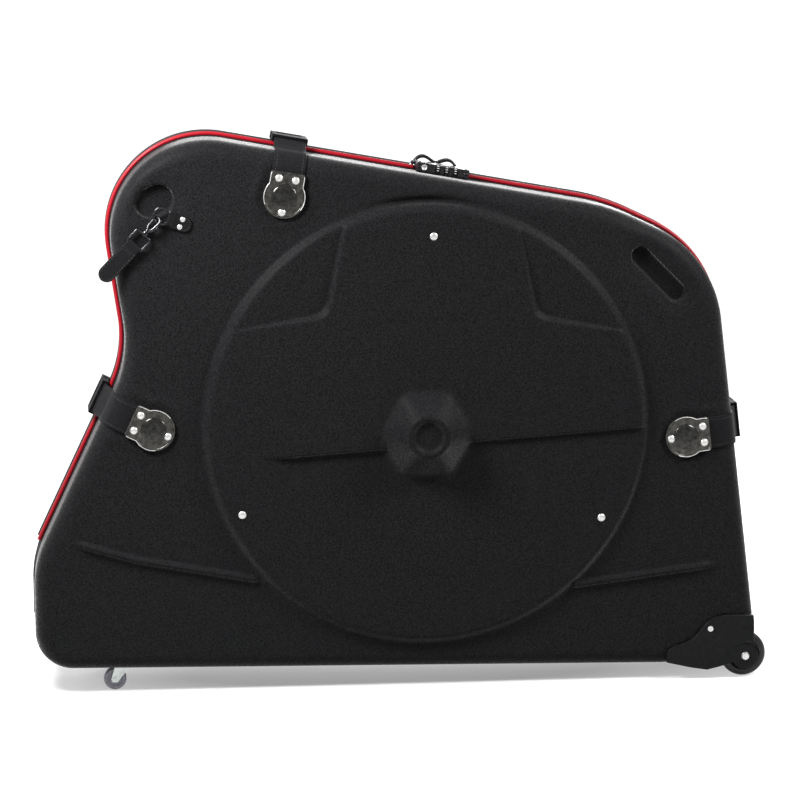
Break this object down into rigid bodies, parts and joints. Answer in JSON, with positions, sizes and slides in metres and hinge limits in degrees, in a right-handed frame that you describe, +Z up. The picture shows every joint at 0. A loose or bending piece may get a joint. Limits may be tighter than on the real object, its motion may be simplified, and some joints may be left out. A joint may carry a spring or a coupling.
{
  "type": "bike travel case",
  "caption": "Moulded two-half bicycle travel case with a wheel-shaped bulge, zip closure, buckled straps, lock, tow strap, fixed wheels and swivel castors.",
  "frame": {"origin": "on the floor, under the middle of the standing case", "axes": "+X along the case towards its fixed wheels, -Y out of the front half, +Z up"},
  "size_m": [1.2092, 0.316, 0.9077],
  "materials": {
    "shell": "moulded foam shell faced with fine black cloth",
    "red_piping": "woven red piping",
    "black_piping": "woven black piping",
    "zip": "woven tape with moulded coil",
    "plate": "dark brushed",
    "strap": "coated, satin",
    "webbing": "woven",
    "rivet": "polished",
    "buckle": "glossy",
    "housing": "satin gloss",
    "tyre": "soft polyurethane",
    "hub": "moulded",
    "bearing": "ground",
    "zinc": "zinc plated",
    "castor_tyre": "grey, slightly translucent",
    "black_nickel": "black nickel",
    "lock": "fine grain",
    "dial": "pale grey"
  },
  "bodies": {
    "rear_case": {"rear_shell": "shell", "rear_piping": "black_piping", "rear_zip_tape": "zip", "rear_top_plate": "plate", "rear_left_plate": "plate", "rear_right_plate": "plate", "rear_straps": "strap", "rear_rivets": "rivet", "rear_wheel_straps": "webbing", "rear_hinge_leaf": "webbing", "rear_wheel_housing": "housing", "rear_wheel_axle": "bearing", "rear_castor_plate": "zinc", "rear_base_screws": "rivet", "rear_ring_tab": "strap", "rear_ring": "black_nickel", "top_buckle_socket": "buckle", "left_buckle_socket": "buckle", "right_buckle_socket": "buckle"},
    "front_case": {"front_shell": "shell", "front_piping": "red_piping", "front_zip_tape": "zip", "front_top_plate": "plate", "front_left_plate": "plate", "front_right_plate": "plate", "front_straps": "strap", "front_rivets": "rivet", "front_wheel_straps": "webbing", "front_hinge_leaf": "webbing", "front_wheel_housing": "housing", "front_wheel_axle": "bearing", "front_castor_plate": "zinc", "front_base_screws": "rivet", "front_ring_tab": "strap", "front_ring": "black_nickel", "top_buckle_tongue": "buckle", "left_buckle_tongue": "buckle", "right_buckle_tongue": "buckle", "lock_body": "lock"},
    "front_wheel": {"front_wheel_tyre": "tyre", "front_wheel_hub": "hub", "front_wheel_bearings": "bearing"},
    "front_castor_swivel": {"front_castor_fork": "zinc"},
    "front_castor_roller": {"front_castor_wheel": "castor_tyre"},
    "rear_wheel": {"rear_wheel_tyre": "tyre", "rear_wheel_hub": "hub", "rear_wheel_bearings": "bearing"},
    "rear_castor_swivel": {"rear_castor_fork": "zinc"},
    "rear_castor_roller": {"rear_castor_wheel": "castor_tyre"},
    "tow": {"snap_hook": "black_nickel", "tow_strap": "strap"},
    "dial_1": {"lock_dial_1": "dial"},
    "dial_2": {"lock_dial_2": "dial"},
    "dial_3": {"lock_dial_3": "dial"},
    "button": {"lock_button": "dial"},
    "left_slider": {"left_zip_slider": "black_nickel"},
    "left_pull": {"left_zip_pull": "black_nickel"},
    "right_slider": {"right_zip_slider": "black_nickel"},
    "right_pull": {"right_zip_pull": "black_nickel"}
  },
  "joints": [
    {"name": "lid_hinge", "type": "hinge", "parent": "rear_case", "child": "front_case", "pos_m": [-0.00153, 0, 0.02905], "axis": [0.9999, 0, -0.0172], "range_deg": [0, 95]},
    {"name": "front_wheel_spin", "type": "hinge", "parent": "front_case", "child": "front_wheel", "pos_m": [0.569, -0.085, 0.038], "axis": [0, 1, 0], "continuous": true},
    {"name": "front_castor_turn", "type": "hinge", "parent": "front_case", "child": "front_castor_swivel", "pos_m": [-0.458, -0.07, 0.051], "axis": [0, 0, 1], "continuous": true},
    {"name": "front_castor_spin", "type": "hinge", "parent": "front_castor_swivel", "child": "front_castor_roller", "pos_m": [-0.471, -0.07, 0.0195], "axis": [0, 1, 0], "continuous": true},
    {"name": "rear_wheel_spin", "type": "hinge", "parent": "rear_case", "child": "rear_wheel", "pos_m": [0.569, 0.085, 0.038], "axis": [0, 1, 0], "continuous": true},
    {"name": "rear_castor_turn", "type": "hinge", "parent": "rear_case", "child": "rear_castor_swivel", "pos_m": [-0.458, 0.07, 0.051], "axis": [0, 0, 1], "continuous": true},
    {"name": "rear_castor_spin", "type": "hinge", "parent": "rear_castor_swivel", "child": "rear_castor_roller", "pos_m": [-0.471, 0.07, 0.0195], "axis": [0, 1, 0], "continuous": true},
    {"name": "tow_swing", "type": "hinge", "parent": "front_case", "child": "tow", "pos_m": [-0.38582, -0.1122, 0.78224], "axis": [0, 1, 0], "range_deg": [0, 60]},
    {"name": "dial_1_turn", "type": "hinge", "parent": "front_case", "child": "dial_1", "pos_m": [0.06123, -0.0455, 0.84471], "axis": [0.9844, 0, -0.1759], "continuous": true},
    {"name": "dial_2_turn", "type": "hinge", "parent": "front_case", "child": "dial_2", "pos_m": [0.07551, -0.0455, 0.84216], "axis": [0.9844, 0, -0.1759], "continuous": true},
    {"name": "dial_3_turn", "type": "hinge", "parent": "front_case", "child": "dial_3", "pos_m": [0.08978, -0.0455, 0.83961], "axis": [0.9844, 0, -0.1759], "continuous": true},
    {"name": "button_press", "type": "slide", "parent": "front_case", "child": "button", "axis": [0, 1, 0], "range_m": [0, 0.002], "stiffness_N_per_m": 400},
    {"name": "left_zip_run", "type": "slide", "parent": "front_case", "child": "left_slider", "axis": [-0.9844, 0, 0.1759], "range_m": [0, 0.13]},
    {"name": "left_pull_flip", "type": "hinge", "parent": "left_slider", "child": "left_pull", "pos_m": [0.02567, 0, 0.8532], "axis": [0, -1, 0], "range_deg": [0, 150]},
    {"name": "right_zip_run", "type": "slide", "parent": "front_case", "child": "right_slider", "axis": [0.9844, 0, -0.1759], "range_m": [0, 0.13]},
    {"name": "right_pull_flip", "type": "hinge", "parent": "right_slider", "child": "right_pull", "pos_m": [0.09753, 0, 0.84035], "axis": [0, 1, 0], "range_deg": [0, 150]}
  ]
}
